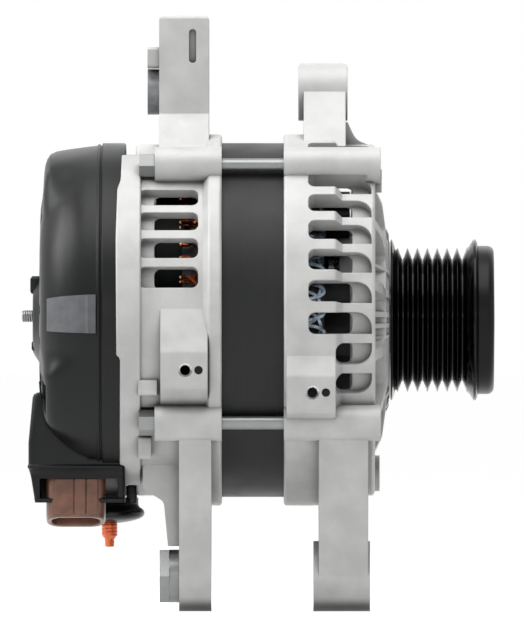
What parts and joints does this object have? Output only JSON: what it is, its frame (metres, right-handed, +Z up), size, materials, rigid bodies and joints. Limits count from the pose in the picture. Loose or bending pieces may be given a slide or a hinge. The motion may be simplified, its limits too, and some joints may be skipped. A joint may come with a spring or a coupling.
{
  "type": "alternator",
  "caption": "Car alternator with vented cast brackets, hairpin stator, claw-pole rotor, four mounting ears and a one-way poly-V pulley",
  "frame": {"origin": "on the shaft axis, in the middle plane of the belt grooves", "axes": "+X along the shaft towards the pulley, +Z up through the upper ears, -Y the side with the block bosses"},
  "size_m": [0.1702, 0.1353, 0.2138],
  "materials": {
    "cast_aluminium": "as cast, shot blasted",
    "core_steel": "laminated and varnished",
    "bright_steel": "zinc plated",
    "dark_steel": "dark bush",
    "race_steel": "ground",
    "pole_steel": "forged",
    "fan_steel": "phosphated sheet",
    "tinned_copper": "enamelled",
    "copper": "bare and enamelled copper",
    "pale_plastic": "moulded",
    "black_plastic": "moulded, fine grain",
    "heat_sink": "rolled",
    "diode_metal": "nickel plated",
    "brown_plastic": "moulded",
    "stud_orange": "orange cap finish",
    "carbon": "pressed carbon",
    "spring_steel": "drawn",
    "pulley_black": "gloss coated",
    "pulley_steel": "ground"
  },
  "bodies": {
    "housing": {"drive_end_bracket": "cast_aluminium", "rear_bracket": "cast_aluminium", "tie_bolts": "bright_steel", "stator_core": "core_steel", "hairpin_windings": "tinned_copper", "welded_ends": "copper", "front_bearing_outer": "race_steel", "rear_bearing_outer": "race_steel", "bearing_retainer": "race_steel", "retainer_screws": "bright_steel", "brush_holder": "black_plastic", "rear_cover": "black_plastic", "cover_studs": "bright_steel", "cover_nuts": "bright_steel", "rear_stud": "bright_steel", "negative_heat_sink": "heat_sink", "terminal_block": "black_plastic", "positive_heat_sink": "heat_sink", "negative_diodes": "diode_metal", "positive_diodes": "diode_metal", "stator_leads": "copper", "voltage_regulator": "black_plastic", "connector_socket": "brown_plastic", "connector_pins": "diode_metal", "terminal_insulator": "black_plastic", "terminal_stud": "stud_orange", "upper_ear_bush": "dark_steel", "lower_ear_bush": "bright_steel", "front_brush_spring": "spring_steel", "rear_brush_spring": "spring_steel"},
    "rotor": {"rotor_shaft": "race_steel", "front_pole_core": "pole_steel", "rear_pole_core": "pole_steel", "coil_bobbin": "pale_plastic", "field_coil": "copper", "front_fan": "fan_steel", "rear_fan": "fan_steel", "slip_ring_sleeve": "pale_plastic", "slip_rings": "copper", "front_bearing_inner": "race_steel", "rear_bearing_inner": "race_steel", "pulley_hub": "race_steel", "clutch_rollers": "race_steel"},
    "pulley": {"pulley_shell": "pulley_black", "clutch_bearings": "pulley_steel", "pulley_cap": "pulley_black"},
    "brush_front": {"front_brush": "carbon"},
    "brush_rear": {"rear_brush": "carbon"}
  },
  "joints": [
    {"name": "rotor_spin", "type": "hinge", "parent": "housing", "child": "rotor", "pos_m": [0, 0, 0], "axis": [1, 0, 0], "continuous": true},
    {"name": "pulley_overrun", "type": "hinge", "parent": "rotor", "child": "pulley", "pos_m": [0, 0, 0], "axis": [1, 0, 0], "continuous": true},
    {"name": "front_brush_slide", "type": "slide", "parent": "housing", "child": "brush_front", "axis": [0, 0, 1], "range_m": [0, 0.004], "stiffness_N_per_m": 300, "springref_m": -0.01, "deforming": ["front_brush_spring"]},
    {"name": "rear_brush_slide", "type": "slide", "parent": "housing", "child": "brush_rear", "axis": [0, 0, 1], "range_m": [0, 0.004], "stiffness_N_per_m": 300, "springref_m": -0.01, "deforming": ["rear_brush_spring"]}
  ]
}
